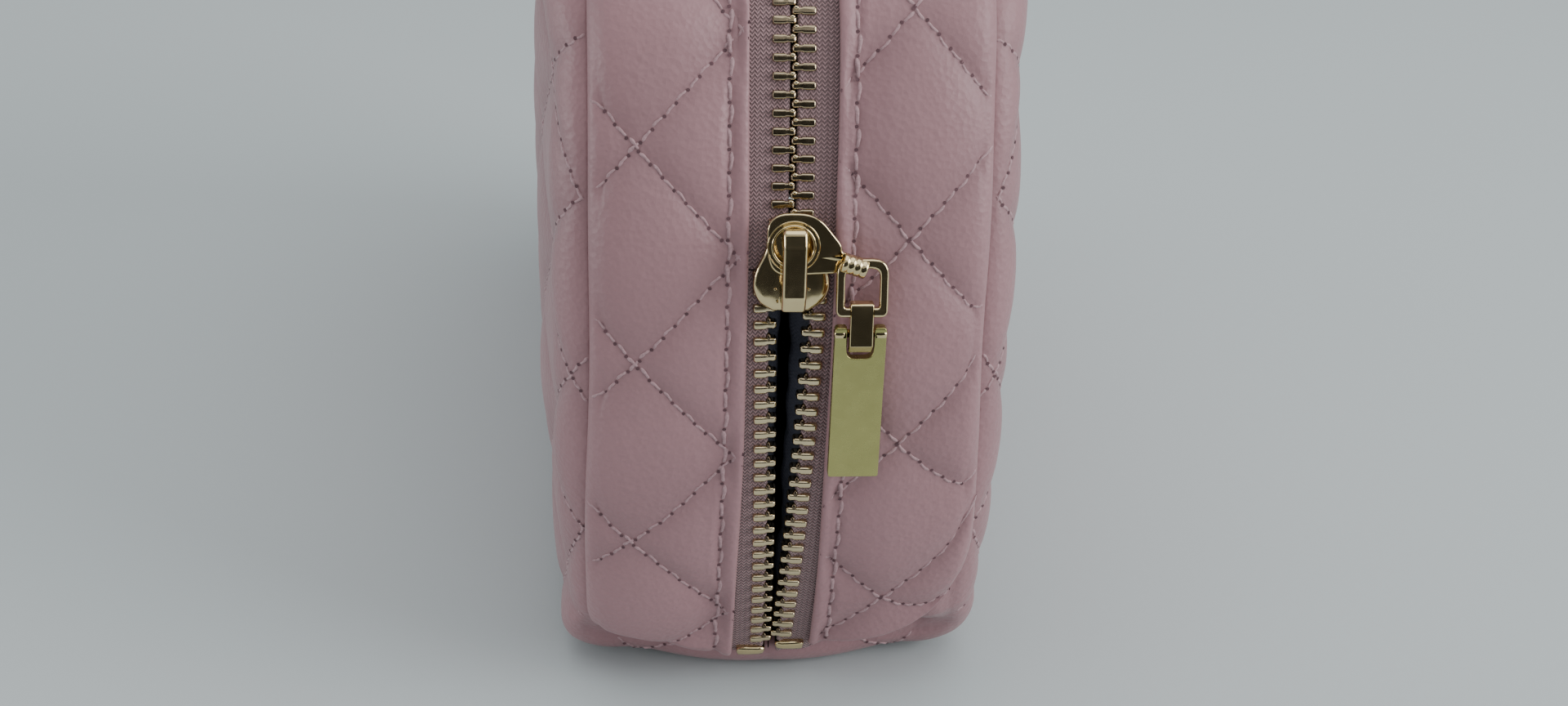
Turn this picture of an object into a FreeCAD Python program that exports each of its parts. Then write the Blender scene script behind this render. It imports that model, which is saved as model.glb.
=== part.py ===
import FreeCAD, Part
import math
import os

# Quilted zip-round makeup bag. Millimetres. +X is the end that carries the slider,
# -Y the front panel, +Z up. The origin is the middle of the flat base, on the table.

os.makedirs("parts", exist_ok=True)
V = FreeCAD.Vector
ORIGIN = V(0, 0, 0)
UP_END = V(0, -1, 0)      # turning about this axis carries +X towards +Z

FRONT, BACK = -1, 1       # the side of the zip that a piece is on
SIDES = {"front": FRONT, "back": BACK}

# ---- the line that the zip chain follows, as tangent arcs in the XZ plane ----
END_R = 160.0             # bulge of the end
END_CENTRE_X = -49.0
END_CENTRE_Z = 68.0
END_BOTTOM = -22.0        # degrees on the end arc
END_TOP = 20.0
CORNER_R = 30.0
TOP_R = 420.0

CORNER_X = END_CENTRE_X + (END_R - CORNER_R) * math.cos(math.radians(END_TOP))
CORNER_Z = END_CENTRE_Z + (END_R - CORNER_R) * math.sin(math.radians(END_TOP))
TOP_CENTRE_Z = CORNER_Z - math.sqrt((TOP_R - CORNER_R) ** 2 - CORNER_X ** 2)
TOP_START = math.degrees(math.atan2(CORNER_Z - TOP_CENTRE_Z, CORNER_X))

# ---- body of the bag ----
HALF_WIDTH = 41.0         # base line to the outside of a panel
GUSSET_OUT = 32.0         # seam between gusset and panel
SEAM_GAP = 0.3
PANEL_LIP_Y = GUSSET_OUT + SEAM_GAP
PANEL_DROP = 1.0          # panel outline inside the zip line
PANEL_ROLL_R = 8.0
SKIN_T = 1.0
PANEL_FOAM_T = 3.0
LINING_T = 0.5
BASE_HALF_LENGTH = 100.5
BASE_ROLL_R = 10.0
BASE_CORNER_R = 12.0
BASE_FOAM_T = 2.0
BOARD_T = 1.5
BOARD_HALF_LENGTH = 88.0
BOARD_HALF_WIDTH = 29.0
BOARD_CORNER_R = 10.0
END_LIP_TOP = 5.8         # the base's end roll stops under the gussets
HINGE_Z = BASE_ROLL_R
PANEL_BOTTOM = HINGE_Z + SEAM_GAP

# ---- gusset, as heights above the zip line at its folded edge, middle and seam ----
FOLD_Y = 6.6
GUSSET_MID_Y = 19.0
SKIN_TOP = (2.6, 3.6, -0.5)
FOAM_TOP = (1.8, 2.7, -1.3)
FOAM_UNDER = (0.6, 0.5, -3.4)
LINING_TOP = (-0.6, -1.4, -3.8)
LINING_UNDER = (-1.0, -1.8, -4.2)
BINDING_Y = (28.5, 33.3)
BINDING_N = (-6.3, -5.7)

# ---- zip chain ----
PITCH = 2.9               # tooth to tooth on one row
TOOTH_T = 1.2             # along the chain
TOOTH_HALF_H = 1.2
TOOTH_TIP = 0.4           # how far a head passes the middle
TOOTH_HEEL = 2.95
SLOT_HALF_H = 0.35
SLOT_Y = 1.9
TAPE_Y = (1.95, 12.5)
TAPE_HALF_T = 0.3
STOP_HALF_LEN = 0.9
STOP_HEEL = 5.0
STOP_TIP = 0.45
STOP_ANGLE = END_BOTTOM + 0.45
FAR_STOP_ANGLE = 180 - END_BOTTOM - 5.5   # the chain ends above the far foot, the tape runs on
STOP_CLEARANCE = 1.0      # degrees of chain kept clear at the far stop

# ---- slider, centred at SLIDER_ANGLE on the +X end ----
SLIDER_ANGLE = 8.0
CLOSED_ROWS_FROM = -1.8   # along the chain from the slider's middle
OPEN_ROWS_TO = -1.95
PLATE_N = 1.6
PLATE_T = 1.1
FLANGE_N = 0.55
FLANGE_Y = 3.3
FLANGE_FROM = -1.9
BRIDGE_HALF_W = 1.85
BRIDGE_IN_N = 6.3
BRIDGE_OUT_N = 7.6
BRIDGE_LEG_T = 1.6
UPPER_LEG_T = 4.3
LOWER_LEG_T = -5.4

# ---- open rows: each swings about a line just under the bottom seam ----
ROW_PIVOT_Y = 4.5
ROW_PIVOT_Z = 2.0
ROW_OPEN_ANGLE = 1.82

# ---- pull ----
RING_R = 4.4
RING_HOLE_R = 2.4
CONNECTOR_N = (3.6, 4.7)
ARM_HALF_W = 1.2
LOOP_BAR_R = 0.8
CLASP_HOLE_R = 0.88
CLASP_R = 1.5
CLASP_Y = (8.9, 11.9)
CLASP_T = 0.8             # along the chain from the slider's middle
CLASP_N = 5.9
PULL_Y = 11.0
LOOP_WIDTH = 7.0          # between the middles of its side bars
LOOP_HEIGHT = 8.0
LOOP_CORNER_R = 1.0
PULL_X = 116.8            # the loop's lower bar, the link and the tag hang on this line
LINK_HALF_W = 1.9
LINK_HALF_T = 1.1
LINK_EYE_R = 1.6
LINK_LENGTH = 3.8
LINK_TAIL = 3.0
PIN_R = 0.7
PIN_HOLE_R = 0.78
TAG_WIDTH = 8.4
TAG_T = 1.7
TAG_TOP = 1.3             # above the pin
TAG_BOTTOM = 26.2         # below the pin
TAG_CORNER_R = 0.5
NOTCH_HALF_W = 2.2
NOTCH_DEPTH = 4.2         # below the pin


def save(node, shape):
    shape.exportStep("parts/" + node + ".step")


def one(shape):
    """The single solid inside a boolean result."""
    return shape.Solids[0]


def box(x, y, z):
    return Part.makeBox(x[1] - x[0], y[1] - y[0], z[1] - z[0], V(x[0], y[0], z[0]))


def cylinder(radius, y, x=0.0, z=0.0):
    return Part.makeCylinder(radius, y[1] - y[0], V(x, y[0], z), V(0, 1, 0))


def polygon(points):
    return Part.Face(Part.makePolygon(points + points[:1]))


# ---- shapes that follow the zip line ----

def zip_sections(first=END_BOTTOM):
    """Arcs from an angle on the +X end, over the top, to the foot of the other end."""
    return [
        (END_CENTRE_X, END_CENTRE_Z, END_R, first, END_TOP),
        (CORNER_X, CORNER_Z, CORNER_R, END_TOP, TOP_START),
        (0.0, TOP_CENTRE_Z, TOP_R, TOP_START, 180 - TOP_START),
        (-CORNER_X, CORNER_Z, CORNER_R, 180 - TOP_START, 180 - END_TOP),
        (-END_CENTRE_X, END_CENTRE_Z, END_R, 180 - END_TOP, 180 - END_BOTTOM),
    ]


def swept(profile, sections):
    """A profile carried along the sections. profile(radius) is a face in the XY plane."""
    pieces = []
    for cx, cz, radius, start, end in sections:
        face = profile(radius)
        face.rotate(ORIGIN, UP_END, start)
        piece = face.revolve(ORIGIN, UP_END, end - start)
        piece.translate(V(cx, 0, cz))
        pieces.append(piece)
    if len(pieces) == 1:
        return pieces[0]
    return one(pieces[0].multiFuse(pieces[1:]))


def strip_profile(side, top, under):
    """Profile of a gusset layer between two arched lines."""
    def face(radius):
        def arc(heights, reverse):
            points = [V(radius + n, side * y, 0)
                      for n, y in zip(heights, (FOLD_Y, GUSSET_MID_Y, GUSSET_OUT))]
            if reverse:
                points.reverse()
            return Part.Arc(*points).toShape(), points[0], points[-1]
        upper, a, b = arc(top, False)
        lower, c, d = arc(under, True)
        return Part.Face(Part.Wire([upper, Part.makeLine(b, c), lower, Part.makeLine(d, a)]))
    return face


def flat_profile(side, y, n):
    def face(radius):
        return polygon([V(radius + n[0], side * y[0], 0), V(radius + n[1], side * y[0], 0),
                        V(radius + n[1], side * y[1], 0), V(radius + n[0], side * y[1], 0)])
    return face


def clamp(side, tip, heel, half_length):
    """A tooth or stop: a block along Z, slotted from its heel for the tape."""
    outline = [(-TOOTH_HALF_H, heel), (-SLOT_HALF_H, heel), (-SLOT_HALF_H, SLOT_Y), (SLOT_HALF_H, SLOT_Y),
               (SLOT_HALF_H, heel), (TOOTH_HALF_H, heel), (TOOTH_HALF_H, tip), (-TOOTH_HALF_H, tip)]
    face = polygon([V(n, side * y, -half_length) for n, y in outline])
    return face.extrude(V(0, 0, 2 * half_length))


def placed(shape, section, angle):
    cx, cz, radius = section[:3]
    copy = shape.copy()
    copy.translate(V(radius, 0, 0))
    copy.rotate(ORIGIN, UP_END, angle)
    copy.translate(V(cx, 0, cz))
    return copy


def teeth(side, sections, first_offset):
    """Teeth at every pitch along the sections, measured from the start of the +X end."""
    tooth = clamp(side, -TOOTH_TIP, TOOTH_HEEL, TOOTH_T / 2)
    row = []
    travelled = 0.0
    ahead = first_offset
    for section in sections:
        radius, start, end = section[2:]
        length = math.radians(end - start) * radius
        while ahead < travelled + length:
            angle = start + math.degrees((ahead - travelled) / radius)
            row.append(placed(tooth, section, angle))
            ahead += PITCH
        travelled += length
    return Part.makeCompound(row)


# ---- panels, gussets and base ----

def panel_outline(inset):
    """Side view of the bag, closed well below the base so that the cut there is clean."""
    low = -35.0
    def on(cx, cz, radius, angle):
        a = math.radians(angle)
        return V(cx + (radius - inset) * math.cos(a), 0, cz + (radius - inset) * math.sin(a))
    edges = []
    for cx, cz, radius, start, end in zip_sections(low)[:4] + [
            (-END_CENTRE_X, END_CENTRE_Z, END_R, 180 - END_TOP, 180 - low)]:
        edges.append(Part.Arc(on(cx, cz, radius, start), on(cx, cz, radius, (start + end) / 2),
                              on(cx, cz, radius, end)).toShape())
    edges.append(Part.makeLine(edges[-1].Vertexes[-1].Point, edges[0].Vertexes[0].Point))
    return Part.Wire(edges)


def panel_block(side, depth):
    """A filled panel whose outside lies at a depth under the outermost surface."""
    face = Part.Face(panel_outline(PANEL_DROP + depth))
    outside = HALF_WIDTH - depth
    face.translate(V(0, side * outside, 0))
    block = face.extrude(V(0, side * (PANEL_LIP_Y - outside), 0))
    rim = [e for e in block.Edges if abs(e.BoundBox.YMin - side * outside) < 0.01
           and abs(e.BoundBox.YMax - side * outside) < 0.01]
    return block.makeFillet(PANEL_ROLL_R - depth, rim)


def panel_layer(side, outer, inner):
    above = box((-200, 200), (-60, 60), (PANEL_BOTTOM, 200))
    return one(panel_block(side, outer).cut(panel_block(side, inner)).common(above))


def base_block(depth):
    """The filled base, rolled up all round, with its outside at a depth under the skin."""
    length = BASE_HALF_LENGTH - depth
    width = HALF_WIDTH - depth
    block = box((-length, length), (-width, width), (depth, 3 * BASE_ROLL_R))
    upright = [e for e in block.Edges if e.BoundBox.ZLength > BASE_ROLL_R]
    block = block.makeFillet(BASE_CORNER_R - depth, upright)
    floor = [e for e in block.Edges if e.BoundBox.ZMax < depth + 0.01]
    return block.makeFillet(BASE_ROLL_R - depth, floor)


def base_layer(outer, inner):
    rolls = box((-200, 200), (-60, 60), (-1, BASE_ROLL_R))
    over_lips = box((-200, 200), (-PANEL_LIP_Y, PANEL_LIP_Y), (END_LIP_TOP, 2 * BASE_ROLL_R))
    return one(base_block(outer).cut(base_block(inner)).common(rolls).cut(over_lips))


def make_base():
    under_board = SKIN_T + BASE_FOAM_T
    over_board = under_board + BOARD_T
    save("bottom_skin", base_layer(0.0, SKIN_T))
    save("bottom_foam", base_layer(SKIN_T, under_board))
    save("bottom_lining", base_layer(over_board, over_board + LINING_T))
    board = box((-BOARD_HALF_LENGTH, BOARD_HALF_LENGTH), (-BOARD_HALF_WIDTH, BOARD_HALF_WIDTH),
                (under_board, over_board))
    upright = [e for e in board.Edges if e.BoundBox.ZLength > BOARD_T / 2]
    save("bottom_board", board.makeFillet(BOARD_CORNER_R, upright))


def make_half(name, side):
    foam_in = SKIN_T + PANEL_FOAM_T
    save(name + "_skin", panel_layer(side, 0.0, SKIN_T))
    save(name + "_foam", panel_layer(side, SKIN_T, foam_in))
    save(name + "_lining", panel_layer(side, foam_in, foam_in + LINING_T))
    whole = zip_sections()
    save(name + "_gusset_skin", swept(strip_profile(side, SKIN_TOP, FOAM_TOP), whole))
    save(name + "_gusset_foam", swept(strip_profile(side, FOAM_TOP, FOAM_UNDER), whole))
    save(name + "_gusset_lining", swept(strip_profile(side, LINING_TOP, LINING_UNDER), whole))
    save(name + "_seam_binding", swept(flat_profile(side, BINDING_Y, BINDING_N), whole))


# ---- zip ----

def row_phase(side):
    """The back row sits half a pitch further on, so that the heads interlock."""
    return 0.0 if side == FRONT else PITCH / 2


def make_closed_rows(name, side):
    first = SLIDER_ANGLE + math.degrees(CLOSED_ROWS_FROM / END_R)
    sections = zip_sections(first)
    travelled = math.radians(first - END_BOTTOM) * END_R
    to_next_tooth = (row_phase(side) - travelled - TOOTH_T / 2) % PITCH + TOOTH_T / 2
    clear_of_stop = sections[:-1] + [sections[-1][:4] + (FAR_STOP_ANGLE - STOP_CLEARANCE,)]
    save(name + "_zip_tape", swept(flat_profile(side, TAPE_Y, (-TAPE_HALF_T, TAPE_HALF_T)), sections))
    save(name + "_zip_teeth", teeth(side, clear_of_stop, to_next_tooth))
    stop = clamp(side, STOP_TIP, STOP_HEEL, STOP_HALF_LEN)
    save(name + "_far_stop", placed(stop, sections[-1], FAR_STOP_ANGLE))


def make_open_rows(name, side):
    """The rows under the slider, built closed and then swung open."""
    last = SLIDER_ANGLE + math.degrees(OPEN_ROWS_TO / END_R)
    arc = (END_CENTRE_X, END_CENTRE_Z, END_R, END_BOTTOM, last)
    toothed = (END_CENTRE_X, END_CENTRE_Z, END_R, END_BOTTOM, last - math.degrees(TOOTH_T / 2 / END_R))
    pieces = {
        "_open_tape": swept(flat_profile(side, TAPE_Y, (-TAPE_HALF_T, TAPE_HALF_T)), [arc]),
        "_open_teeth": teeth(side, [toothed], row_phase(side) + PITCH),
        "_bottom_stop": placed(clamp(side, STOP_TIP, STOP_HEEL, STOP_HALF_LEN), arc, STOP_ANGLE),
    }
    for ending, shape in pieces.items():
        shape.rotate(V(0, side * ROW_PIVOT_Y, ROW_PIVOT_Z), V(1, 0, 0), -side * ROW_OPEN_ANGLE)
        save(name + ending, shape)


# ---- slider, in its own frame: X away from the bag, Z along the chain towards the top ----

def to_slider_place(shape):
    return placed(shape, zip_sections()[0], SLIDER_ANGLE)


def plate_face(n):
    """Bell outline: narrow where the chain is closed, wide shoulders at the mouth."""
    side_line = [(3.6, 6.8), (3.9, 3.5), (4.9, 0.5), (6.0, -2.6), (5.3, -5.7), (3.4, -6.8)]
    right = Part.BSplineCurve()
    right.interpolate([V(n, y, t) for y, t in side_line])
    left = Part.BSplineCurve()
    left.interpolate([V(n, -y, t) for y, t in reversed(side_line)])
    top_y, top_t = side_line[0]
    low_y, low_t = side_line[-1]
    return Part.Face(Part.Wire([
        right.toShape(), Part.makeLine(V(n, low_y, low_t), V(n, -low_y, low_t)),
        left.toShape(), Part.makeLine(V(n, -top_y, top_t), V(n, top_y, top_t))]))


def slider_body():
    plates = [plate_face(PLATE_N).extrude(V(PLATE_T, 0, 0)),
              plate_face(-PLATE_N - PLATE_T).extrude(V(PLATE_T, 0, 0))]
    channel = box((-9, 9), (-FLANGE_Y, FLANGE_Y), (-9, 9))
    mouth = box((-9, 9), (-9, 9), (-9, FLANGE_FROM))
    for n in (FLANGE_N, -PLATE_N):
        flange = plate_face(n).extrude(V(PLATE_N - FLANGE_N, 0, 0))
        plates.append(flange.cut(channel).cut(mouth))
    neck = polygon([V(-PLATE_N, y, t) for y, t in
                    ((0, -2.6), (1.2, -3.8), (1.0, -5.8), (-1.0, -5.8), (-1.2, -3.8))])
    plates.append(neck.extrude(V(2 * PLATE_N, 0, 0)))
    return one(plates[0].multiFuse(plates[1:]))


def slider_bridge():
    top = PLATE_N + PLATE_T
    half_leg = BRIDGE_LEG_T / 2
    outer = box((top, BRIDGE_OUT_N), (-BRIDGE_HALF_W, BRIDGE_HALF_W),
                (LOWER_LEG_T - half_leg, UPPER_LEG_T + half_leg))
    bends = [e for e in outer.Edges if e.BoundBox.YLength > BRIDGE_HALF_W
             and e.BoundBox.XMin > BRIDGE_OUT_N - 0.01]
    outer = outer.makeFillet(BRIDGE_LEG_T, bends)
    return one(outer.cut(box((top - 1, BRIDGE_IN_N), (-9, 9),
                             (LOWER_LEG_T + half_leg, UPPER_LEG_T - half_leg))))


def make_slider():
    save("slider_body", to_slider_place(slider_body()))
    save("slider_bridge", to_slider_place(slider_bridge()))


# ---- pull ----

def connector():
    """Ring round the bridge's upper leg, and an arm to a clasp round the loop's top bar."""
    low, high = CONNECTOR_N
    ring = Part.makeCylinder(RING_R, high - low, V(low, 0, UPPER_LEG_T), V(1, 0, 0))
    arm = polygon([V(low, 1.0, UPPER_LEG_T + 3.9), V(low, 5.0, UPPER_LEG_T + 1.2),
                   V(low, CLASP_Y[0], CLASP_T + ARM_HALF_W), V(low, CLASP_Y[1], CLASP_T + ARM_HALF_W),
                   V(low, CLASP_Y[1], CLASP_T), V(low, CLASP_Y[0] - 2.0, CLASP_T),
                   V(low, 1.0, UPPER_LEG_T - 4.2)]).extrude(V(high - low, 0, 0))
    clasp = cylinder(CLASP_R, CLASP_Y, CLASP_N, CLASP_T)
    hole = Part.makeCylinder(RING_HOLE_R, 9, V(0, 0, UPPER_LEG_T), V(1, 0, 0))
    bar = cylinder(CLASP_HOLE_R, (CLASP_Y[0] - 1, CLASP_Y[1] + 1), CLASP_N, CLASP_T)
    return one(ring.multiFuse([arm, clasp]).cut(hole).cut(bar))


def bent_corner(y, z, turn):
    """A quarter of the loop's bar, from its side to its end."""
    circle = Part.Face(Part.Wire(Part.makeCircle(LOOP_BAR_R, V(0, y + LOOP_CORNER_R, z), V(0, 0, 1))))
    bend = circle.revolve(V(0, y, z), V(1, 0, 0), 90)
    bend.rotate(V(0, y, z), V(1, 0, 0), turn)
    return bend


def loop():
    """Rounded ring in the YZ plane, hanging from the middle of its top bar at the origin."""
    half = LOOP_WIDTH / 2
    straight = half - LOOP_CORNER_R
    pieces = [cylinder(LOOP_BAR_R, (-straight, straight), 0, z) for z in (0, -LOOP_HEIGHT)]
    for y in (-half, half):
        pieces.append(Part.makeCylinder(LOOP_BAR_R, LOOP_HEIGHT - 2 * LOOP_CORNER_R,
                                        V(0, y, LOOP_CORNER_R - LOOP_HEIGHT), V(0, 0, 1)))
    for y, z, turn in ((straight, -LOOP_CORNER_R, 0), (-straight, -LOOP_CORNER_R, 90),
                       (-straight, LOOP_CORNER_R - LOOP_HEIGHT, 180),
                       (straight, LOOP_CORNER_R - LOOP_HEIGHT, 270)):
        pieces.append(bent_corner(y, z, turn))
    return one(pieces[0].multiFuse(pieces[1:]))


def clasp_place():
    """Where the clasp's axis is in the bag's frame, as (x, z)."""
    a = math.radians(SLIDER_ANGLE)
    out = END_R + CLASP_N
    return (END_CENTRE_X + out * math.cos(a) - CLASP_T * math.sin(a),
            END_CENTRE_Z + out * math.sin(a) + CLASP_T * math.cos(a))


def make_pull():
    save("pull_connector", to_slider_place(connector()))

    top_x, top_z = clasp_place()
    lean = math.degrees(math.asin((PULL_X - top_x) / LOOP_HEIGHT))
    ring = loop()
    ring.rotate(ORIGIN, UP_END, lean)
    ring.translate(V(top_x, PULL_Y, top_z))
    save("pull_loop", ring)

    bar_z = top_z - LOOP_HEIGHT * math.cos(math.radians(lean))
    pin_z = bar_z - LINK_LENGTH
    across = (PULL_Y - LINK_HALF_W, PULL_Y + LINK_HALF_W)
    link = one(box((PULL_X - LINK_HALF_T, PULL_X + LINK_HALF_T), across, (pin_z - LINK_TAIL, bar_z))
               .fuse(cylinder(LINK_EYE_R, across, PULL_X, bar_z)))
    link = link.cut(cylinder(CLASP_HOLE_R, across, PULL_X, bar_z))
    save("pull_link", one(link.cut(cylinder(PIN_HOLE_R, across, PULL_X, pin_z))))

    half = TAG_WIDTH / 2
    tag = box((PULL_X - TAG_T / 2, PULL_X + TAG_T / 2), (PULL_Y - half, PULL_Y + half),
              (pin_z - TAG_BOTTOM, pin_z + TAG_TOP))
    corners = [e for e in tag.Edges if e.BoundBox.XLength > TAG_T / 2 and e.BoundBox.ZMax < pin_z]
    tag = tag.makeFillet(TAG_CORNER_R, corners)
    ears = [e for e in tag.Edges if e.BoundBox.XLength > TAG_T / 2
            and e.BoundBox.ZMin > pin_z + TAG_TOP - 0.01 and e.BoundBox.YLength < 0.01]
    tag = tag.makeFillet(TAG_TOP / 2, ears)
    notch = box((PULL_X - 9, PULL_X + 9), (PULL_Y - NOTCH_HALF_W, PULL_Y + NOTCH_HALF_W),
                (pin_z - NOTCH_DEPTH, pin_z + 9))
    foot = [e for e in notch.Edges if e.BoundBox.XLength > 9 and e.BoundBox.ZMax < pin_z]
    notch = notch.makeFillet(NOTCH_HALF_W * 0.8, foot)
    pin_hole = cylinder(PIN_R, (PULL_Y - half, PULL_Y + half), PULL_X, pin_z)
    save("pull_tag", one(tag.cut(notch).cut(pin_hole)))
    save("pull_tag_pin", pin_hole)


make_base()
for half_name, half_side in SIDES.items():
    make_half(half_name, half_side)
    make_closed_rows(half_name, half_side)
    make_open_rows(half_name, half_side)
make_slider()
make_pull()
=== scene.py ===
import math
import bpy
import numpy as np
from mathutils import Matrix, Vector


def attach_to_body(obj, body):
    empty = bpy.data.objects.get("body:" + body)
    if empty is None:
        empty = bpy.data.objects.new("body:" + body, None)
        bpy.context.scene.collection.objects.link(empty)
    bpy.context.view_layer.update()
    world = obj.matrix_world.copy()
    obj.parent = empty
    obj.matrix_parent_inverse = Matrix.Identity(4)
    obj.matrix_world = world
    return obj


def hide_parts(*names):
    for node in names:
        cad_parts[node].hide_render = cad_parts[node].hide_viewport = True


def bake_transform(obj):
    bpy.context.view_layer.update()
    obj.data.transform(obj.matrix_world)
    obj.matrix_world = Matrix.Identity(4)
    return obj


# Quilted zip-round makeup bag. Shapes are worked out in millimetres in the bag's frame
# (+X the end with the slider, -Y the front panel, +Z up) and become metres in add_mesh.

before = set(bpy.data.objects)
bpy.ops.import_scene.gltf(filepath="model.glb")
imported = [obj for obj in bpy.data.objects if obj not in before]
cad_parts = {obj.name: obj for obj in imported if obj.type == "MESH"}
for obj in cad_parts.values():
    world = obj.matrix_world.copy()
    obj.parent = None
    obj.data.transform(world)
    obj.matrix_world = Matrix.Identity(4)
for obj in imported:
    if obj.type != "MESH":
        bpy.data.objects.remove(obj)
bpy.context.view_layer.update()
MM = 0.001
SIDES = {"front": -1, "back": 1}

# ---- camera

CAMERA_PLACE = (0.4104, -0.0317, 0.2242)
CAMERA_YAW = math.radians(5.92)
CAMERA_PITCH = math.radians(26.54)
CAMERA_ROLL = math.radians(2.32)
CAMERA_LENS = 46.9


def make_camera():
    data = bpy.data.cameras.new("camera")
    data.sensor_width = 36
    data.lens = CAMERA_LENS
    camera = bpy.data.objects.new("camera", data)
    bpy.context.scene.collection.objects.link(camera)
    forward = Vector((-math.cos(CAMERA_YAW) * math.cos(CAMERA_PITCH),
                      math.sin(CAMERA_YAW) * math.cos(CAMERA_PITCH), -math.sin(CAMERA_PITCH)))
    level = forward.cross(Vector((0, 0, 1))).normalized()
    upright = level.cross(forward)
    right = math.cos(CAMERA_ROLL) * level + math.sin(CAMERA_ROLL) * upright
    up = math.cos(CAMERA_ROLL) * upright - math.sin(CAMERA_ROLL) * level
    axes = Matrix((right, up, -forward)).transposed()
    camera.matrix_world = Matrix.Translation(CAMERA_PLACE) @ axes.to_4x4()
    bpy.context.scene.camera = camera


make_camera()

# ---- materials

LEATHER = (0.315, 0.172, 0.186)
THREAD = (0.370, 0.225, 0.242)
TAPE = (0.330, 0.202, 0.210)
LINING = (0.085, 0.088, 0.116)
GOLD = (0.74, 0.60, 0.34)
SATIN_GOLD = (0.46, 0.43, 0.17)
TAPE_COLUMN, TAPE_COURSE = 0.9, 0.7     # one knitted stitch across and along the tape


class Paint:
    """A node material under construction."""

    def __init__(self, name, colour, roughness, metallic=0.0):
        self.material = bpy.data.materials.new(name)
        self.material.use_nodes = True
        self.nodes = self.material.node_tree.nodes
        self.links = self.material.node_tree.links
        self.shader = self.nodes["Principled BSDF"]
        self.set(Base_Color=(*colour, 1), Roughness=roughness, Metallic=metallic)
        self.colour = colour

    def add(self, kind, **inputs):
        node = self.nodes.new(kind)
        for name, value in inputs.items():
            self.feed(node.inputs[name.replace("_", " ")], value)
        return node

    def feed(self, socket, value):
        if isinstance(value, bpy.types.NodeSocket):
            self.links.new(value, socket)
        else:
            socket.default_value = value

    def math(self, operation, a, b=0.0, c=0.0):
        node = self.nodes.new("ShaderNodeMath")
        node.operation = operation
        for socket, value in zip(node.inputs, (a, b, c)):
            self.feed(socket, value)
        return node.outputs[0]

    def ramp(self, value, low, high, to_low, to_high):
        return self.add("ShaderNodeMapRange", Value=value, From_Min=low, From_Max=high,
                        To_Min=to_low, To_Max=to_high).outputs[0]

    def place(self, kind="Object"):
        return self.add("ShaderNodeTexCoord").outputs[kind]

    def noise(self, scale, detail=3.0, vector=None):
        return self.add("ShaderNodeTexNoise", Scale=scale, Detail=detail,
                        Vector=self.place() if vector is None else vector).outputs[0]

    def cells(self, scale):
        return self.add("ShaderNodeTexVoronoi", Scale=scale, Vector=self.place()).outputs["Distance"]

    def mottle(self, scale, detail, low, high):
        """Noise spread between two values."""
        return self.ramp(self.noise(scale, detail), 0.3, 0.7, low, high)

    def times(self, a, b):
        return self.math("MULTIPLY", a, b)

    def set(self, **values):
        for name, value in values.items():
            self.shader.inputs[name.replace("_", " ")].default_value = value

    def shade(self, factor):
        """Multiplies the base colour by a factor near 1."""
        node = self.add("ShaderNodeVectorMath", Vector=self.colour)
        node.operation = "SCALE"
        self.feed(node.inputs["Scale"], factor)
        self.links.new(node.outputs["Vector"], self.shader.inputs["Base Color"])

    def bump(self, height, depth_mm, under=None):
        node = self.add("ShaderNodeBump", Height=height, Distance=depth_mm * MM, Strength=1.0)
        if under is not None:
            self.links.new(under.outputs["Normal"], node.inputs["Normal"])
        self.links.new(node.outputs["Normal"], self.shader.inputs["Normal"])
        return node


def leather():
    paint = Paint("quilted_leather", LEATHER, 0.46)
    patches = paint.mottle(28, 2, 0.95, 1.05)
    pores = paint.mottle(1400, 2, 0.97, 1.03)
    # The seam attribute is 1 along the quilting lines: the leather is painted darker there, painted shade in
    # the quilted valleys.
    seam = paint.add("ShaderNodeAttribute")
    seam.attribute_name = "seam"
    valley_shade = paint.ramp(seam.outputs["Fac"], 0.0, 1.0, 1.0, 0.86)
    paint.shade(paint.times(paint.times(patches, pores), valley_shade))
    grain = paint.bump(paint.cells(1000), 0.09)
    creases = paint.bump(paint.noise(420, 4), 0.15, under=grain)
    paint.bump(paint.noise(90, 2), 0.16, under=creases)
    paint.feed(paint.shader.inputs["Roughness"], paint.mottle(160, 3, 0.42, 0.52))
    paint.set(Sheen_Weight=0.08, Sheen_Roughness=0.5, Specular_IOR_Level=0.42)
    return paint.material


def thread():
    paint = Paint("pink_thread", THREAD, 0.6)
    paint.shade(paint.mottle(2600, 2, 0.82, 1.15))
    paint.bump(paint.noise(5200, 2), 0.05)
    paint.set(Sheen_Weight=0.25)
    return paint.material


# Near-black discs over the needle holes: painted shade inside the holes.
def needle_hole():
    paint = Paint("needle_hole", (0.10, 0.045, 0.055), 0.8)
    paint.shade(paint.mottle(900, 2, 0.7, 1.2))
    return paint.material


def zip_tape():
    """Warp-knitted tape: columns of small V-shaped stitches, from UVs in millimetres."""
    paint = Paint("zip_tape", TAPE, 0.78)
    axes = paint.add("ShaderNodeSeparateXYZ", Vector=paint.place("UV"))
    along, across = axes.outputs["X"], axes.outputs["Y"]
    column = paint.math("PINGPONG", paint.math("DIVIDE", across, TAPE_COLUMN), 0.5)
    slanted = paint.math("ADD", paint.math("DIVIDE", along, TAPE_COURSE), paint.times(column, 1.5))
    stitch = paint.math("SINE", paint.times(slanted, 2 * math.pi))
    rib = paint.math("SINE", paint.times(column, math.pi))
    weave = paint.times(paint.ramp(stitch, -1.0, 1.0, 0.25, 1.0), paint.ramp(rib, 0.0, 1.0, 0.65, 1.0))
    fuzz = paint.mottle(3000, 2, 0.9, 1.1)
    # The knit's grooves are painted darker and its crests lighter, following the same relief as the bump:
    # painted shade and highlight.
    paint.shade(paint.times(paint.ramp(weave, 0.1, 1.0, 0.32, 1.45), fuzz))
    paint.bump(weave, 0.4)
    paint.set(Sheen_Weight=0.2)
    return paint.material


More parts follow.
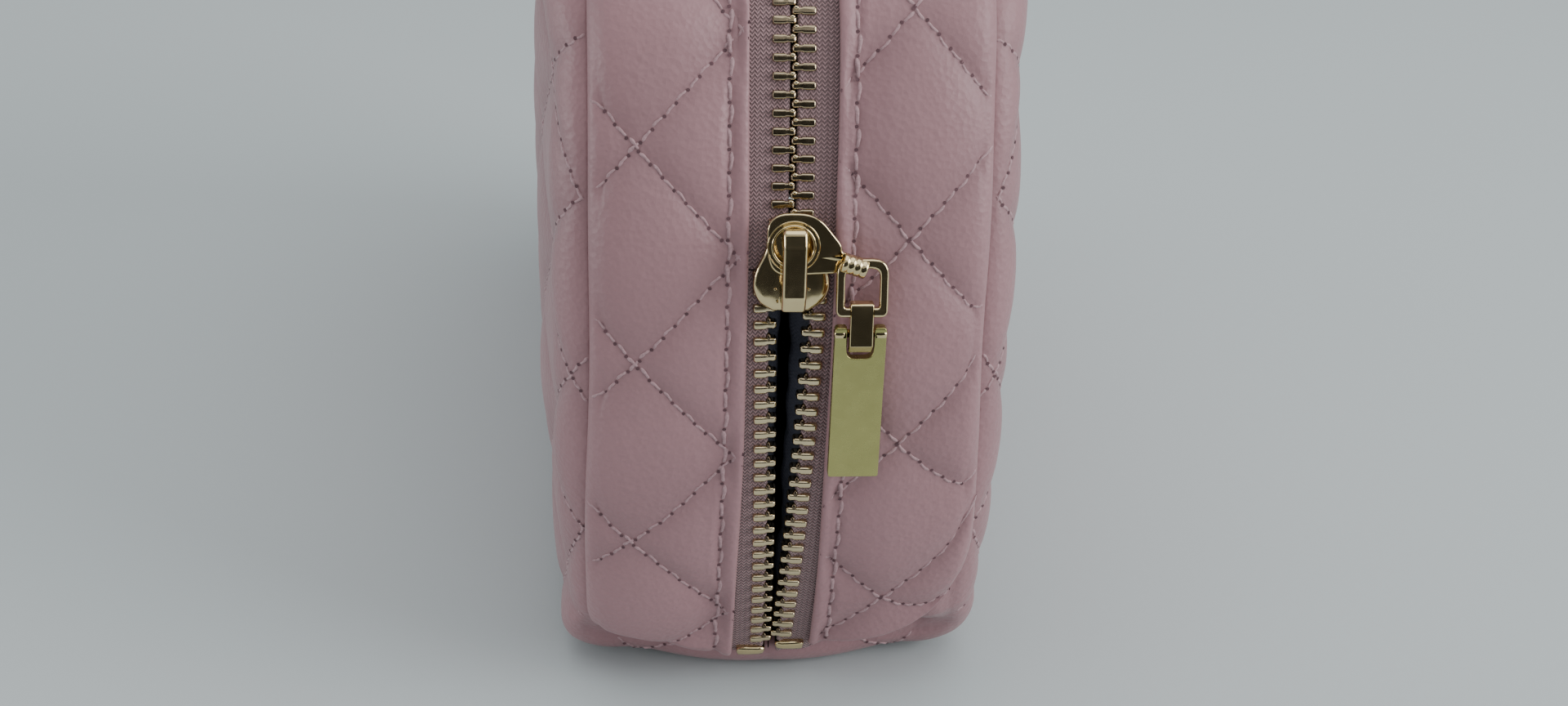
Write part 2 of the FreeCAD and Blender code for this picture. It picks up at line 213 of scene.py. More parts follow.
def lining():
    paint = Paint("lining_fabric", LINING, 0.42)
    axes = paint.add("ShaderNodeSeparateXYZ", Vector=paint.place("UV"))
    warp, weft = (paint.math("SINE", paint.times(axes.outputs[axis], 9.0)) for axis in "XY")
    paint.shade(paint.mottle(60, 3, 0.8, 1.3))
    threads = paint.bump(paint.times(warp, weft), 0.03)
    paint.bump(paint.noise(170, 4), 0.5, under=threads)
    return paint.material


def binding():
    paint = Paint("binding_fabric", LINING, 0.7)
    paint.shade(paint.mottle(700, 3, 0.7, 1.5))
    paint.bump(paint.noise(1500, 2), 0.1)
    return paint.material


def metal(name, colour, roughness, streak=0.0):
    """Plated zinc: faint uneven polish, a little tarnish, and fine brushing where streak is set."""
    paint = Paint(name, colour, roughness, 1.0)
    paint.shade(paint.mottle(260, 3, 0.95, 1.03))
    paint.feed(paint.shader.inputs["Roughness"], paint.mottle(500, 4, roughness * 0.75, roughness * 1.15))
    polish = paint.bump(paint.noise(330, 2), 0.005)
    if streak:
        squeezed = paint.add("ShaderNodeMapping", Vector=paint.place(), Scale=(1.0, 1.0, 0.03))
        paint.bump(paint.noise(9000, 2, squeezed.outputs[0]), streak, under=polish)
    return paint.material


LEATHER_PAINT = leather()
THREAD_PAINT = thread()
HOLE_SHADE_PAINT = needle_hole()
TAPE_PAINT = zip_tape()
LINING_PAINT = lining()
BINDING_PAINT = binding()
GOLD_PAINT = metal("gold_metal", GOLD, 0.13)
# The closed run's teeth are a darker copy of the open run's metal: a painted dark reflection.
TOOTH_PAINTS = {"open": metal("tooth_metal", (0.70, 0.58, 0.37), 0.17),
                "closed": metal("tooth_painted_dark_reflection", (0.40, 0.32, 0.21), 0.15)}
# Nib paints: near black on the open run, painted shade above each tooth's bar; the lighter open tooth metal
# on the closed run, painted highlights where the heads interlock.
NIB_PAINTS = {"open": metal("nib_painted_shade", (0.16, 0.12, 0.08), 0.2), "closed": TOOTH_PAINTS["open"]}
SATIN_PAINT = metal("satin_gold", SATIN_GOLD, 0.30, streak=0.004)
PLATED = (GOLD_PAINT, "gold_metal")

# ---- mesh helpers


def add_object(name, data):
    obj = bpy.data.objects.new(name, data)
    bpy.context.scene.collection.objects.link(obj)
    return obj


def add_mesh(name, points, faces, paint, slot=None, uv=None, seam=None):
    """Points are in millimetres; uv and seam hold one value per point."""
    mesh = bpy.data.meshes.new(name)
    faces = faces if isinstance(faces, list) else faces.tolist()
    mesh.from_pydata((np.asarray(points) * MM).tolist(), [], faces)
    mesh.polygons.foreach_set("use_smooth", [True] * len(mesh.polygons))
    if uv is not None:
        corners = np.zeros(len(mesh.loops), int)
        mesh.loops.foreach_get("vertex_index", corners)
        mesh.uv_layers.new(name="UVMap").data.foreach_set("uv", np.asarray(uv)[corners].ravel())
    # The seam attribute darkens the leather along the quilting lines: painted shade in the valleys.
    if seam is not None:
        mesh.attributes.new("seam", "FLOAT", "POINT").data.foreach_set("value", seam.astype(np.float32))
    mesh.materials.append(paint)
    mesh.update()
    return add_object(name, mesh)


def attach(piece, body, *nodes):
    """The piece moves with a body and stands for these nodes of the frame."""
    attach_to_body(piece, body)
    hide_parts(*nodes)


def full_turn(count):
    return np.arange(count) * 2 * math.pi / count


def quads(rows, columns, wrap_rows=False, wrap_columns=False, start=0):
    index = start + np.arange(rows * columns).reshape(rows, columns)
    if wrap_rows:
        index = np.vstack([index, index[:1]])
    if wrap_columns:
        index = np.hstack([index, index[:, :1]])
    return np.stack([index[:-1, :-1], index[1:, :-1], index[1:, 1:], index[:-1, 1:]], -1).reshape(-1, 4)


def add_grid(name, points, paint, slot, uv=None, seam=None, **wraps):
    rows, columns = points.shape[:2]
    return add_mesh(name, points.reshape(-1, 3), quads(rows, columns, **wraps), paint, slot,
                    None if uv is None else uv.reshape(-1, 2), None if seam is None else seam.ravel())


def copies(unit, places):
    """Points and faces of many copies of a unit; places is (count, 4, 3), an origin and three axes."""
    unit_points, unit_faces = unit
    points = places[:, None, 0] + np.einsum("pk,nkc->npc", unit_points, places[:, 1:])
    faces = [unit_faces + i * len(unit_points) for i in range(len(places))]
    return points.reshape(-1, 3), np.concatenate(faces)


def smooth_line(points, spacing):
    """Points evenly spaced along a curve through the given ones."""
    p = np.asarray(points, float)
    p = np.vstack([2 * p[0] - p[1], p, 2 * p[-1] - p[-2]])
    t = np.linspace(0, 1, 24, endpoint=False)[:, None]
    runs = [0.5 * (2 * b + (c - a) * t + (2 * a - 5 * b + 4 * c - d) * t ** 2
                   + (3 * b - a - 3 * c + d) * t ** 3)
            for a, b, c, d in zip(p, p[1:], p[2:], p[3:])]
    line = np.vstack(runs + [p[-2:-1]])
    reach = np.r_[0, np.cumsum(np.linalg.norm(np.diff(line, axis=0), axis=1))]
    count = max(2, round(reach[-1] / spacing) + 1)
    even = np.linspace(0, reach[-1], count)
    return np.stack([np.interp(even, reach, line[:, k]) for k in range(line.shape[1])], -1)


ROLL_EXTRA = math.pi / 2 - 1      # a quarter roll's arc is longer than its radius by this share of it


def ease(t):
    t = np.clip(t, 0, 1)
    return t * t * (3 - 2 * t)


def waves(a, b, size):
    """Slow unevenness, as hand-sewn work has. a and b are in millimetres."""
    return size * (np.sin(a / 17.0 + 1.3) * np.sin(b / 13.0 + 0.4) + 0.6 * np.sin(a / 7.3 - b / 9.1)) / 1.6


# ---- the line that the zip follows

END_R, END_CENTRE = 160.0, (-49.0, 68.0)
CORNER_R, TOP_R = 30.0, 420.0
FOOT_ANGLE, SHOULDER_ANGLE = math.radians(-22), math.radians(20)
CORNER = (END_CENTRE[0] + (END_R - CORNER_R) * math.cos(SHOULDER_ANGLE),
          END_CENTRE[1] + (END_R - CORNER_R) * math.sin(SHOULDER_ANGLE))
TOP_CENTRE = (0.0, CORNER[1] - math.sqrt((TOP_R - CORNER_R) ** 2 - CORNER[0] ** 2))
TOP_ANGLE = math.atan2(CORNER[1] - TOP_CENTRE[1], CORNER[0])
ARCS = [  # centre, radius, first and last angle
    (*END_CENTRE, END_R, FOOT_ANGLE, SHOULDER_ANGLE),
    (*CORNER, CORNER_R, SHOULDER_ANGLE, TOP_ANGLE),
    (*TOP_CENTRE, TOP_R, TOP_ANGLE, math.pi - TOP_ANGLE),
    (-CORNER[0], CORNER[1], CORNER_R, math.pi - TOP_ANGLE, math.pi - SHOULDER_ANGLE),
    (-END_CENTRE[0], END_CENTRE[1], END_R, math.pi - SHOULDER_ANGLE, math.pi - FOOT_ANGLE),
]
ARC_STARTS = np.cumsum([0.0] + [r * (last - first) for _, _, r, first, last in ARCS])
ZIP_LENGTH = float(ARC_STARTS[-1])


def on_zip(s, y, n):
    """Points a distance s along the zip line from the +X foot, y across it and n outside it."""
    s, y, n = np.broadcast_arrays(np.asarray(s, float), y, n)
    which = np.clip(np.searchsorted(ARC_STARTS, s, side="right") - 1, 0, len(ARCS) - 1)
    cx, cz, radius, first = (np.array([arc[k] for arc in ARCS])[which] for k in range(4))
    angle = first + (s - ARC_STARTS[which]) / radius
    return np.stack([cx + (radius + n) * np.cos(angle), y, cz + (radius + n) * np.sin(angle)], -1)


def zip_axes(s):
    """Outward and onward directions at s."""
    s = np.asarray(s, float)
    out = on_zip(s, 0, 1.0) - on_zip(s, 0, 0.0)
    onward = np.stack([-out[..., 2], np.zeros_like(s), out[..., 0]], -1)
    return out, onward


# ---- quilting and stitches

STITCH_PITCH = 2.9
TOPSTITCH_PITCH = 3.65
STITCH_SHARE = 0.97       # of the way from one needle hole to the next
QUILT_THREAD_R, TOPSTITCH_R = 0.28, 0.36


class Quilt:
    """Two families of parallel stitch lines that cross in diamonds."""

    def __init__(self, width, height, crossing):
        self.width, self.height = width, height
        self.crossing = crossing
        self.spacing = 1 / math.hypot(1 / width, 1 / height)

    def families(self, along, across):
        a = (along - self.crossing[0]) / self.height
        b = (across - self.crossing[1]) / self.width
        return a + b, a - b

    def valley(self, along, across, softness=3.4):
        """1 on a stitch line, falling to 0 in the middle of a diamond."""
        puff = 1.0
        for family in self.families(along, across):
            distance = np.abs(family - np.round(family)) * self.spacing
            puff = puff * (1 - np.exp(-distance / softness))
        return 1 - puff

    def lines(self, along_range, across_range):
        """Stitch ends along every line, each an array of (along, across) a pitch apart."""
        step = STITCH_PITCH / math.hypot(1, self.height / self.width)
        found = []
        across = np.linspace(*across_range, round((across_range[1] - across_range[0]) / step) + 1)
        for slope in (1, -1):
            reach = self.height * (across - self.crossing[1]) / self.width
            low, high = ((limit - self.crossing[0]) / self.height for limit in along_range)
            slack = (across_range[1] - across_range[0]) / self.width + 1
            for k in range(math.floor(low - slack), math.ceil(high + slack) + 1):
                along = self.crossing[0] + self.height * k - slope * reach
                found.append(np.stack([along, across], -1))
        return found


def stitch_unit(sides=8, rings=9):
    """A twisted two-ply stitch along the first axis, from 0 to 1, in units of its own axes."""
    t = np.linspace(0.02, 0.98, rings)
    turn = full_turn(sides)
    fat = (1 - 0.8 * (2 * t - 1) ** 6)[:, None] * (1 + 0.24 * np.cos(2 * turn[None] - 9.0 * t[:, None]))
    arch = 1.0 * (1 - (2 * t - 1) ** 4)[:, None] - 0.9
    points = np.stack([np.repeat(t[:, None], sides, 1), fat * np.cos(turn), arch + fat * np.sin(turn)], -1)
    return points.reshape(-1, 3), quads(rings, sides, wrap_columns=True)


def hole_unit(sides=8):
    turn = full_turn(sides)
    rim = np.stack([np.cos(turn), np.sin(turn), np.zeros(sides)], -1)
    return rim, np.arange(sides)[None]


def sew(name, starts, ends, normals, radius=QUILT_THREAD_R):
    """A thread mesh and a mesh of needle holes for stitches between starts and ends."""
    run = ends - starts
    length = np.linalg.norm(run, axis=1, keepdims=True)
    along = run / length
    normals = normals - along * (normals * along).sum(1, keepdims=True)
    normals /= np.linalg.norm(normals, axis=1, keepdims=True)
    side = np.cross(normals, along)
    skew = np.tile([[0.09], [-0.09]], (len(starts) // 2 + 1, 1))[:len(starts)]
    origin = starts + run * (1 - STITCH_SHARE) / 2
    places = np.stack([origin, run * STITCH_SHARE + side * skew * length, side * radius, normals * radius], 1)
    threads = add_mesh(name + "_thread", *copies(stitch_unit(), places), THREAD_PAINT, "quilted_leather")
    # A dark disc at each needle hole, painted shade.
    places = np.stack([starts + side * 0.22 + normals * 0.2, along * 0.3, side * 0.34, normals], 1)
    holes = add_mesh(name + "_needle_holes", *copies(hole_unit(), places), HOLE_SHADE_PAINT, "quilted_leather")
    return threads, holes


def sewn_lines(surface, lines, keep):
    """Starts, ends and normals, on a surface(along, across), of the stitches that keep(points) allows."""
    starts, ends, normals = [], [], []
    for line in lines:
        middle = (line[:-1] + line[1:]) / 2
        inside = keep(line[:-1]) & keep(line[1:])
        if not inside.any():
            continue
        placed = surface(*line.T)
        du, dv = (surface(*(middle + step).T) - surface(*(middle - step).T) for step in ((0.3, 0), (0, 0.3)))
        starts.append(placed[:-1][inside])
        ends.append(placed[1:][inside])
        normals.append(np.cross(du, dv)[inside])
    return np.concatenate(starts), np.concatenate(ends), np.concatenate(normals)


def facing_out(points, normals, inside_point):
    """Turns normals away from a point inside the bag."""
    flip = ((points - inside_point) * normals).sum(1) < 0
    return np.where(flip[:, None], -normals, normals)


# ---- gussets

FOLD_Y = 7.0
SEAM_Y = 32.0
TOPSTITCH_Y = 10.1
# (y, n) from the hidden edge under the tape, round the fold beside it, and over to the seam
GUSSET_LINE = [(12.5, -0.4), (8.5, 0.1), (7.3, 0.7), (7.0, 1.5), (7.3, 2.35), (8.4, 2.75), (11.5, 2.9),
               (15.5, 3.6), (20.0, 3.9), (25.0, 3.6), (29.0, 2.9), (31.2, 1.9), (32.4, 0.2), (32.6, -1.8),
               (32.5, -4.8)]
QUILT_DEPTH = 1.6
TOPSTITCH_DEPTH, TOPSTITCH_HALF = 0.6, 1.2        # the groove it pulls: share of QUILT_DEPTH, half width
GUSSET_SPREAD = {"front": 1.0, "back": 1.7}       # extra half width near the feet
SPREAD_FROM_END, SPREAD_REACH = 28, 26.0          # where along the zip it is widest, and how far it goes
BAG_CENTRE = (0, 0, 70)
GUSSET_QUILTS = {"front": Quilt(34.0, 35.8, (30.6, 25.3)), "back": Quilt(34.0, 36.2, (14.8, 19.0))}
GUSSET_END_R = 3.0
# how far up the foot edge lies across each gusset, as (y, height): tight corner in front, round behind
GUSSET_FEET = {
    "front": [(6.8, -2.6), (13, 0.3), (20, 3.8), (25, 5.7), (29.5, 6.6), (31.3, 7.2), (32.2, 8.2),
              (32.6, 10)],
    "back": [(6.8, 0.8), (13, 2.8), (20, 6.0), (24, 8.6), (27, 11.6), (29.5, 15.5), (31.5, 21), (32.6, 27)],
}


def end_distance(s):
    return np.minimum(s, ZIP_LENGTH - s)


def raise_feet(name, s, y, extra=0.0):
    """Moves s along near both feet, so that rows follow the gusset's lower edge."""
    line = np.array(GUSSET_FEET[name])
    foot = np.interp(y, line[:, 0], line[:, 1]) + extra
    from_end = end_distance(s)
    from_end = from_end + foot * np.exp(-np.clip(from_end, 0, None) / (6.0 + 1.1 * np.abs(foot)))
    return np.where(s < ZIP_LENGTH / 2, from_end, ZIP_LENGTH - from_end)


def gusset_point(name, s, y, n, normal_y, normal_n):
    """Places a point of the gusset's profile, quilted, and rounded under at both feet."""
    side = SIDES[name]
    seam = GUSSET_QUILTS[name].valley(s, y) * ease((33.0 - y) / 2.0) * ease((y - 7.2) / 2.0)
    groove = TOPSTITCH_DEPTH * np.exp(-((y - TOPSTITCH_Y) / TOPSTITCH_HALF) ** 2)
    seam = np.maximum(seam, groove * (n > 1.5))
    depth = QUILT_DEPTH * seam * ease((n + 1.5) / 2) + waves(s, y * 2, 0.16)
    y = y - normal_y * depth
    n = n - normal_n * depth
    from_end = end_distance(s)
    beta = np.clip((GUSSET_END_R - from_end) / GUSSET_END_R, 0, math.pi / 2)
    rolled = np.where(beta > 0, GUSSET_END_R * (1 - np.sin(beta)), from_end)
    tucked = np.clip(-from_end - ROLL_EXTRA * GUSSET_END_R, 0, None)
    rolled = rolled + 0.6 * tucked
    n = n - GUSSET_END_R * (1 - np.cos(beta)) - 0.8 * tucked
    s = raise_feet(name, np.where(s < ZIP_LENGTH / 2, rolled, ZIP_LENGTH - rolled), y)
    near = np.exp(-((end_distance(s) - SPREAD_FROM_END) / SPREAD_REACH) ** 2)
    y = y + GUSSET_SPREAD[name] * ease((y - 18) / 12) * near
    return on_zip(s, side * y, n), seam


def gusset_profile():
    """Even points along GUSSET_LINE, and their normals."""
    profile = smooth_line(GUSSET_LINE, 0.55)
    tangent = np.gradient(profile, axis=0)
    tangent /= np.linalg.norm(tangent, axis=1, keepdims=True)
    return profile, np.stack([-tangent[:, 1], tangent[:, 0]], -1)


def gusset_surface(name):
    """The quilted top of a gusset as surface(s, y)."""
    profile, normal = gusset_profile()
    fold = np.argmin(profile[:, 0])
    top, normal = profile[fold:], normal[fold:]

    def surface(s, y):
        heights = (np.interp(y, top[:, 0], v) for v in (top[:, 1], normal[:, 0], normal[:, 1]))
        return gusset_point(name, s, y, *heights)[0]
    return surface


def make_gusset(name):
    body = name + "_half"
    profile, normal = gusset_profile()
    roll = ROLL_EXTRA * GUSSET_END_R
    foot = np.r_[-roll - 4.0, -roll - 2.0, np.arange(-roll, 5.0, 0.5)]
    s = np.r_[foot, np.linspace(5.0, ZIP_LENGTH - 5.0, 560), (ZIP_LENGTH - foot)[::-1]]
    s_grid, y = np.meshgrid(s, profile[:, 0], indexing="ij")
    heights = (np.broadcast_to(v, y.shape) for v in (profile[:, 1], normal[:, 0], normal[:, 1]))
    points, seam = gusset_point(name, s_grid, y, *heights)
    gusset = add_grid(name + "_gusset", points, LEATHER_PAINT, "quilted_leather",
                      np.stack([s_grid, y], -1), seam)
    attach(gusset, body, name + "_gusset_skin", name + "_gusset_foam")

    surface = gusset_surface(name)
    quilt_lines = GUSSET_QUILTS[name].lines((0, ZIP_LENGTH), (FOLD_Y + 0.2, SEAM_Y + 0.4))
    sewn = sewn_lines(surface, quilt_lines, lambda points: end_distance(points[:, 0]) > 0.5)
    run = np.arange(-0.5, ZIP_LENGTH + 0.5, TOPSTITCH_PITCH)
    beside_zip = [np.stack([run, np.full_like(run, TOPSTITCH_Y)], -1)]
    topstitch = sewn_lines(surface, beside_zip, lambda points: end_distance(points[:, 0]) > -1)
    starts, ends, normals = (np.concatenate(pair) for pair in zip(sewn, topstitch))
    normals = facing_out(starts, normals, BAG_CENTRE)
    radius = np.repeat((QUILT_THREAD_R, TOPSTITCH_R), (len(sewn[0]), len(topstitch[0])))[:, None]
    for piece in sew(name + "_gusset", starts, ends, normals, radius=radius):
        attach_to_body(piece, body)


# ---- wraps: panel, bottom roll and half the bottom

PANEL_Y = 41.0
FOLD_R = 14.0             # roll between panel and bottom
FOLD_ARC = FOLD_R * math.pi / 2
BOTTOM_RUN = PANEL_Y - FOLD_R
SEAM_LOW = -FOLD_ARC - BOTTOM_RUN
PANEL_INSET = 1.0
EDGE_R, FOOT_EDGE_R = 8.5, 6.5
# the end's outline below the fold, as (X, height): it is set back under the gusset's corners
FOOT_OUTLINE = [(98.4, -73), (98.2, -50), (97.0, -38), (95.0, -28), (93.6, -19), (94.8, -10), (98.2, -3),
                (99.9, 0)]
WRAP_QUILT = Quilt(34.5, 31.7, (86.0, 109.5))   # along is height above the fold, across is X
PANEL_CROWN, CROWN_HEIGHT, CROWN_REACH = 2.4, 66, (99, 72)    # how far it bulges, and over what area
END_NARROWING = 1.6
LOW_NARROWING = {-1: 1.4, 1: -0.2}
WRAP_DEPTH = 1.5
MESH_STEP = 1.15
WRAP_CENTRE = np.array([0.0, 50.0])


def wrap_outline(step):
    """The unrolled wrap's outline as (x, height above the fold), its outward directions and roll radii."""
    s = np.arange(0, ZIP_LENGTH + step, step)
    line = on_zip(s, 0, -PANEL_INSET)[:, [0, 2]] - (0, FOLD_R)
    line = line[line[:, 1] > 1.5]
    right = smooth_line(FOOT_OUTLINE, step)
    points = np.vstack([right, line, right[::-1] * (-1, 1)])
    onward = np.gradient(points, axis=0)
    onward /= np.linalg.norm(onward, axis=1, keepdims=True)
    outward = np.stack([onward[:, 1], -onward[:, 0]], -1)
    radius = FOOT_EDGE_R + (EDGE_R - FOOT_EDGE_R) * ease((points[:, 1] + 12) / 18)
    return points, outward, radius


OUTLINE, OUTWARD, ROLL_RADIUS = wrap_outline(0.8)


def nearest_outline(u):
    parts = np.array_split(u, len(u) // 4000 + 1)
    return np.concatenate([((part[:, None] - OUTLINE) ** 2).sum(-1).argmin(1) for part in parts])


def fold_under(side, x, g, drop):
    """A point of the unrolled wrap, a distance drop inside its surface."""
    phi = np.clip(-g / FOLD_R, 0, math.pi / 2)
    y = -(BOTTOM_RUN + (FOLD_R - drop) * np.cos(phi))
    z = FOLD_R + np.clip(g, 0, None) - (FOLD_R - drop) * np.sin(phi)
    y = y + np.clip(-g - FOLD_ARC, 0, None)
    return np.stack([x, -side * y, z], -1)


def wrap_point(side, u, depth, inset=0.0):
    """Rolls the edge of the unrolled wrap round to the seam. depth is how far inside the surface."""
    index = nearest_outline(u)
    out, radius = OUTWARD[index], ROLL_RADIUS[index]
    inside = ((OUTLINE[index] - u) * out).sum(1)
    beta = np.clip((radius - inside) / radius, 0, math.pi / 2)
    pull = np.where(beta > 0, radius - (radius - 0.3 * depth) * np.sin(beta), inside) + inset * np.sin(beta)
    flat = u + out * (inside - pull)[:, None]
    drop = radius - (radius - depth) * np.cos(beta)
    return fold_under(side, flat[:, 0], flat[:, 1], drop)


def wrap_depth(side, u, quilted=True):
    """Crown of the panel, the narrowing towards the ends and feet, and the quilting."""
    x, g = u[:, 0], u[:, 1]
    across, up = x / CROWN_REACH[0], (g - CROWN_HEIGHT) / CROWN_REACH[1]
    crown = PANEL_CROWN * np.clip(1 - across ** 2, 0, 1) * np.clip(1 - up ** 2, 0, 1)
    standing = ease((g + 12) / 12)
    ends, low = END_NARROWING * ease((np.abs(x) - 72) / 25), LOW_NARROWING[side] * ease((38 - g) / 36)
    narrow = (ends + low) * standing
    if not quilted:
        return narrow - crown
    seam = WRAP_QUILT.valley(g, x)
    return narrow - crown + WRAP_DEPTH * seam + waves(x, g, 0.2) * standing + 0.15


def wrap_rings():
    """The unrolled wrap's rim and its rings, shrinking towards the centre: (rings, around, 2)."""
    points, outward, radius = wrap_outline(MESH_STEP)
    above_cut = points[:, 1] >= SEAM_LOW - MESH_STEP / 2
    points, outward, radius = points[above_cut], outward[above_cut], radius[above_cut]
    points[:, 1] = np.maximum(points[:, 1], SEAM_LOW)
    rim = points + outward * (radius * ROLL_EXTRA)[:, None]
    cut_x = np.arange(rim[-1, 0] + MESH_STEP, rim[0, 0] - MESH_STEP / 2, MESH_STEP)
    cut = np.stack([cut_x, np.full_like(cut_x, SEAM_LOW)], -1)
    closed = np.vstack([rim, cut])
    facing = np.vstack([outward, np.tile((0, -1.0), (len(cut), 1))])
    height = ((closed - WRAP_CENTRE) * facing).sum(1)
    near = np.arange(0, 17, 0.85)
    shrink = [1 - d / height for d in near]
    count = 74
    shrink += [shrink[-1] * (1 - j / count) for j in range(1, count + 1)]
    rings = np.stack([WRAP_CENTRE + (closed - WRAP_CENTRE) * f[:, None] for f in shrink])
    return rings, len(rim), points, outward, radius


RINGS, RIM_COUNT, RIM_POINTS, RIM_OUT, RIM_RADIUS = wrap_rings()
# rows past the seam, as (inwards, under): beside a panel, and at the foot, where they close the corner
RIM_TUCK = [(5.5, 1.2), (4.0, 1.3), (2.4, 1.3), (0.8, 0.9), (0.2, 0.35)]
FOOT_TUCK = {-1: [(5.0, 11.0), (0.2, 9.0), (-1.3, 6.4), (-1.6, 3.6), (-0.9, 1.4)],
             1: [(5.0, 11.0), (0.2, 9.0), (-1.1, 6.4), (-1.4, 3.6), (-0.8, 1.4)]}
TUCK_BELOW = {-1: 8, 1: 24}


def wrap_mesh(name, side, depth_of, paint, slot, inset=0.0, tucked=False):
    rings, around = RINGS.shape[:2]
    u = RINGS.reshape(-1, 2)
    depth = depth_of(side, u)
    points = wrap_point(side, u, depth, inset)
    faces = [quads(rings, around, wrap_columns=True)]
    uv = u
    if tucked:
        rows = []
        seam_depth = depth[:RIM_COUNT]
        low = ease((TUCK_BELOW[side] - RIM_POINTS[:, 1]) / 14) * ease((RIM_POINTS[:, 1] + 46) / 12)
        for beside, foot in zip(RIM_TUCK, FOOT_TUCK[side]):
            inwards, under = (a * (1 - low) + b * low for a, b in zip(beside, foot))
            flat = RIM_POINTS - RIM_OUT * (inwards + 0.3 * seam_depth)[:, None]
            rows.append(fold_under(side, flat[:, 0], flat[:, 1], RIM_RADIUS + under))
        start = len(points)
        faces.append(quads(len(rows), RIM_COUNT, start=start))
        last = start + (len(rows) - 1) * RIM_COUNT + np.arange(RIM_COUNT)
        rim = np.arange(RIM_COUNT)
        faces.append(np.stack([last[:-1], rim[:-1], rim[1:], last[1:]], -1))
        points = np.vstack([points] + rows)
        uv = np.vstack([u] + [u[:RIM_COUNT]] * len(rows))
    return add_mesh(name, points, np.concatenate(faces), paint, slot, uv,
                    WRAP_QUILT.valley(uv[:, 1], uv[:, 0]))


def bend_at_hinge(piece):
    """Bakes the piece's transform into its mesh."""
    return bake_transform(piece)


def make_wrap(name):
    side = SIDES[name]
    wrap = wrap_mesh(name + "_wrap", side, wrap_depth, LEATHER_PAINT, "quilted_leather", tucked=True)
    bend_at_hinge(wrap)
    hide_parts(name + "_skin", name + "_foam", "bottom_skin", "bottom_foam", "bottom_board")

    def surface(g, x):
        u = np.stack([x, g], -1)
        return wrap_point(side, u, wrap_depth(side, u))

    def on_cloth(points):
        u = points[:, ::-1]
        index = nearest_outline(u)
        inside = ((OUTLINE[index] - u) * OUTWARD[index]).sum(1)
        return (inside > -0.57 * ROLL_RADIUS[index]) & (u[:, 1] > SEAM_LOW + 1)
    lines = WRAP_QUILT.lines((SEAM_LOW, 150), (-125, 125))
    starts, ends, normals = sewn_lines(surface, lines, on_cloth)
    inner = np.stack([starts[:, 0] * 0.8, starts[:, 1] * 0.5, 20 + starts[:, 2] * 0.7], -1)
    normals = facing_out(starts, normals, inner)
    for piece in sew(name + "_wrap", starts, ends, normals):
        bend_at_hinge(piece)


# ---- linings and binding

LINING_DEPTH = 4.6
# (y, n) across each: the strip's loose fold hangs behind the zip, the binding wraps the seam's edge
STRIP_LINE = [(7.2, -0.9), (4.4, -2.9), (1.6, -5.4), (0.9, -7.4), (3.0, -8.9), (8.0, -7.6), (13, -4.4),
              (20, -3.3), (27, -3.6), (32.4, -5.0)]
BINDING_LINE = [(33.2, -5.7), (31.0, -5.6), (29.0, -5.6), (28.5, -6.0), (29.0, -6.4), (31.0, -6.4),
                (33.2, -6.3)]


def crinkle(u):
    x, g = u[:, 0], u[:, 1]
    return (0.35 * np.sin(x / 5.1 + 2.0 * np.sin(g / 11.0)) * np.sin(g / 6.7 + np.sin(x / 13.0))
            + 0.2 * np.sin((x + g) / 2.9))


def lining_depth(side, u):
    return (LINING_DEPTH + np.maximum(wrap_depth(side, u, quilted=False), -0.5)
            + crinkle(u) * ease((u[:, 1] + 14) / 10))


def make_linings(name):
    side = SIDES[name]
    sheet = wrap_mesh(name + "_panel_lining", side, lining_depth, LINING_PAINT, "lining_fabric", inset=4.0)
    bend_at_hinge(sheet)
    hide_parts(name + "_lining", "bottom_lining")

    s = np.arange(0.0, ZIP_LENGTH + 1, 1.5)
    line = smooth_line(STRIP_LINE, 1.1)
    s_grid, y = np.meshgrid(s, line[:, 0], indexing="ij")
    loose = ease((-0.9 - line[:, 1]) / 2) * ease((30 - y) / 8)
    folds = np.sin(s_grid / 3.7 + y / 5) * np.sin(y / 3.1 + s_grid / 19)
    ripple = loose * (0.5 * folds + 0.2 * np.sin(s_grid / 1.3 + y))
    raised = raise_feet(name, s_grid, y, extra=2.0)
    points = on_zip(raised, side * (y + 0.7 * ripple), line[:, 1] + ripple - 0.3)
    strip = add_grid(name + "_gusset_strip_lining", points, LINING_PAINT, "lining_fabric",
                     np.stack([s_grid, y], -1))
    attach(strip, name + "_half", name + "_gusset_lining")

    raised = raise_feet(name, s, 31.0, extra=2.0)
    points = np.stack([on_zip(raised, side * y, n + 0.12 * np.sin(s * 1.7)) for y, n in BINDING_LINE], 1)
    tape = add_grid(name + "_seam_binding_tape", points, BINDING_PAINT, "binding_fabric")
    attach(tape, name + "_half", name + "_seam_binding")


# ---- zip

PITCH = 2.9
SLIDER_ANGLE = math.radians(8.0)
SLIDER_S = (SLIDER_ANGLE - FOOT_ANGLE) * END_R
CLOSED_FROM, OPEN_TO = SLIDER_S - 1.8, SLIDER_S - 1.95
FAR_STOP_S = ZIP_LENGTH - math.radians(5.5) * END_R
ROW_PIVOT = (4.5, 2.0)
ROW_OPEN = math.radians(1.82)
TOOTH_LENGTH = (-0.4, 3.5)
NIBS = {  # middle and radii
    "open": ((0.96, 0.72, 0.45), (0.5, 0.7, 0.65)),
    "closed": ((0.3, 0.44, 0.72), (0.55, 0.38, 0.6)),
}
STOP_S = {"front": -0.5, "back": 1.1}
# the tape's section: the cord's inner edge, the way across from there, and the height of every point
CORD_EDGE = {"open": 0.95, "closed": 0.55}
TAPE_Y = [1.95, 2.3, 3.5, 5.0, 6.5, 8.0, 12.5]
TAPE_N = [-0.4, 0.3, 0.62, 0.65, 0.45, 0.3, 0.3, 0.28, 0.22, 0.1, 0.0]


